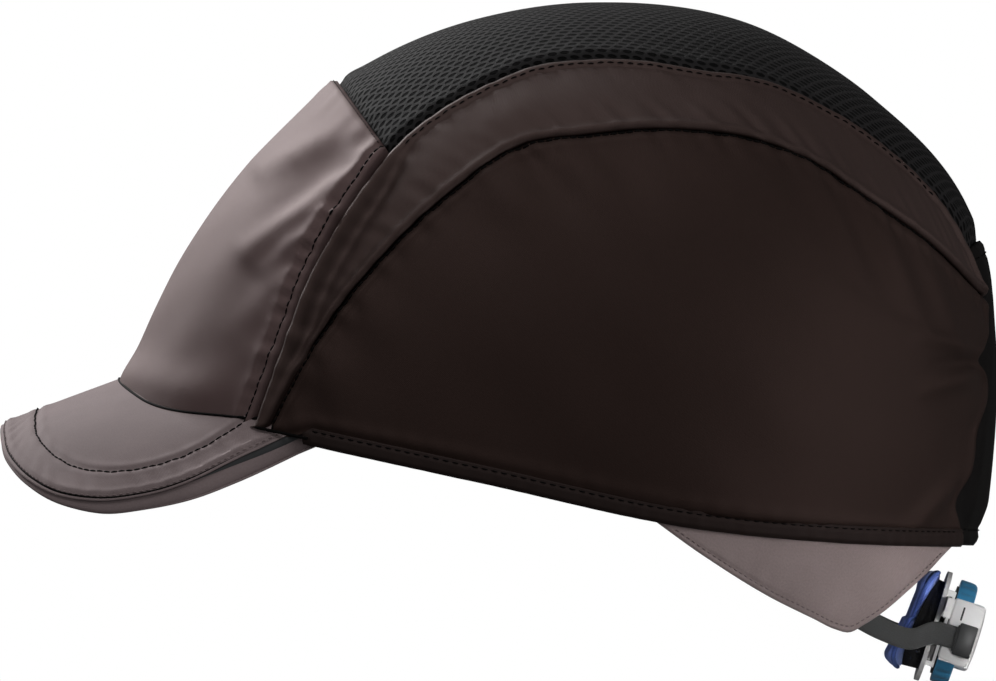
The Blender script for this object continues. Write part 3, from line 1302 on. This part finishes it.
# Name, outline (down, out), nearest and furthest distance across, plastic, edge radius and CAD node if any.
SLIDER_PARTS = (
    ("slider_housing_", [(-9.4, 2.4), (-9.4, 7.6), (-8.2, 10.6), (-6.9, 11.25), (6.0, 11.25), (8.1, 10.3),
                         (8.35, 8.2), (7.4, 2.4)], 26.7, 32.3, "grey_plastic", 0.5, ()),
    ("slider_groove_", [(-7.6, 5.1), (-7.6, 5.6), (-3.9, 5.6), (-3.9, 5.1)], 31.9, 32.42, "dark_plastic",
     0.1, ()),
    ("strap_keeper_", [(-3.4, 5.6), (-3.4, 10.6), (5.5, 10.6), (5.5, 5.6)], 32.0, 35.0, "dark_plastic", 0.45,
     ("strap_keeper_",)),
    ("keeper_mouth_", [(-2.6, 5.2), (-2.6, 6.0), (4.7, 6.0), (4.7, 5.2)], 32.2, 34.6, "dark_plastic",
     0.15, ()),
)


def slider_details(side):
    """Rounded housing over the slider's box, with a step, and the dark keeper that clamps the strap."""
    sign = 1 if side == "left" else -1
    for name, outline, low, high, plastic, radius, nodes in SLIDER_PARTS:
        part = extruded(name + side, outline, low, high, sign, plastic, radius)
        finish_piece(part, plastic, *(node + side for node in nodes), body="slider_" + side)


def strap(side):
    """Flat ribbed elastic from inside the flap to the keeper, sagging and turning a little."""
    sign = 1 if side == "left" else -1
    start = np.array([56.8, 76.0, -33.2])
    hold = at_adjuster([33.5, 1.0, 6.2])
    route = np.array([start, (52.6, 82.6, -37.2), (47.2, 89.4, -40.9), (41.0, 96.2, -43.2),
                      at_adjuster([34.6, 1.3, 0.4]), at_adjuster([33.7, 1.1, 4.0]), hold])
    path = smooth_line(route, 90)
    ahead = unit(np.gradient(path, axis=0))
    width_way = unit(ADJUSTER_DOWN - ahead * (ahead @ ADJUSTER_DOWN)[:, None])
    out_way = unit(np.cross(width_way, ahead))
    run = np.linspace(0, 1, len(path))
    half = 3.0 + 0.12 * np.sin(run * 9)
    thick = 0.55
    section = []
    for across in np.linspace(-1, 1, 13):
        section.append((across, thick * min(1.0, 3.2 * (1 - abs(across)) + 0.45)))
    rows = []
    for point, a, w, n, h in zip(path, ahead, width_way, out_way, half):
        ring = [point + w * h * u + n * v for u, v in section]
        ring += [point + w * h * u - n * v for u, v in section[::-1]]
        rows.append(ring)
    rows = np.array(rows)
    count = rows.shape[1]
    length = length_of(path)
    places = np.repeat(np.linspace(0, length, len(rows)), count)
    over = np.tile(np.concatenate([np.linspace(-3, 3, 13), np.linspace(3, -3, 13)]), len(rows))
    obj = new_object("strap_" + side, rows.reshape(-1, 3) * [sign, 1, 1], ring_faces(len(rows), count),
                     "elastic", np.stack([places, over], -1))
    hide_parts("strap_" + side)
    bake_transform(obj)


# The nape plate is bowed across and its cushion leans away from it downwards.
PLATE_RADIUS = 110
PAD_LEAN = math.tan(math.radians(6))


def behind_plate(x, y, gap):
    """Distance out from the dial's axis origin of a face that lies behind the bowed plate."""
    return -(gap + y * PAD_LEAN) - (PLATE_RADIUS - np.sqrt(PLATE_RADIUS ** 2 - x ** 2))


def nape_pad():
    """Blue padded nape cushion with a bound edge, on a black foam layer."""
    u, v, square, factor = rounded_square(64, 44, 3.4)
    x = u * factor * np.where(v > 0, 30.0, 25.0)
    y = v * factor * np.where(v > 0, 13.5, 14.3)
    x = x * (0.82 + 0.18 * np.clip(np.abs(y) / 11, 0, 1) ** 1.5)
    grid = np.stack([x, y, behind_plate(x, y, 4.2)], -1)
    near = (1 - square) * 13.0
    rounding = rounded_edge(near, 1.6)
    swell = 0.35 * np.cos(v * math.pi / 2) * np.cos(u * math.pi / 2) + 1.6 * smooth_step(np.abs(y), 7, 14)
    tufts = 0.12 * np.cos(x * 2 * math.pi / 7.5) * smooth_step(near, 1, 5)
    front = grid + np.stack([0 * x, 0 * x, -0.9 * (1 - rounding)], -1)
    face = grid - np.stack([0 * x, 0 * x, 0.9 + 1.6 * rounding + swell + tufts], -1)
    cover = sheet_between("nape_pad_cover", at_adjuster(front), at_adjuster(face), "blue_cloth")
    weld(cover)
    finish_piece(cover, "nape_cloth", "nape_pad_cover")
    edge = np.concatenate([grid[:, 0], grid[-1, 1:], grid[-2::-1, -1], grid[0, -2:0:-1]])
    edge = edge - np.array([0, 0, 0.9])
    loop = even(at_adjuster(np.concatenate([edge, edge[:1]])), 220)[:-1]
    finish_piece(tube("nape_pad_binding", loop, 0.62, "blue_edge", 10, closed=True), "nape_cloth")
    # Foam between the cushion and the plate.
    u, v, _, factor = rounded_square(40, 30, 2.6)
    x, y = u * factor * 21.0, v * factor * 12.4
    top = np.stack([x, y, np.full_like(x, -1.25)], -1)
    low = np.stack([x * 1.04, y * 1.02, behind_plate(x, y, 4.15)], -1)
    foam = sheet_between("nape_pad_foam", at_adjuster(top), at_adjuster(low), "foam")
    weld(foam)
    finish_piece(foam, "foam", "nape_pad_foam")


# ---------------------------------------------------------------- pieces kept from the frame

KEPT = {
    "inner_shell": "shell_plastic", "hook_tabs": "dark_plastic", "loop_tabs": "black_cloth",
    "adjuster_base": "grey_plastic", "track_cover": "grey_plastic",
    "rack_slider_left": "grey_plastic", "rack_slider_right": "grey_plastic", "ratchet_ring": "dark_plastic",
    "pinion": "dark_plastic", "pawl_spring": "dark_plastic", "dial_screw": "steel",
}


def paint_kept_nodes():
    """Procedural materials on the pieces that need no other shape."""
    for node, material in KEPT.items():
        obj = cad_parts[node]
        for slot_item in obj.material_slots:
            slot_item.material = PALETTE[material]


make_camera()
make_stage()
front_panel()
mesh_panel()
rear_panel()
peak()
shell_pads()
sweatband()
dial()
for cap_side in ("left", "right"):
    side_band(cap_side)
    side_panel(cap_side, hem_band(cap_side))
    nape_flap(cap_side)
    slider_details(cap_side)
    strap(cap_side)
nape_pad()
paint_kept_nodes()

bpy.context.view_layer.update()
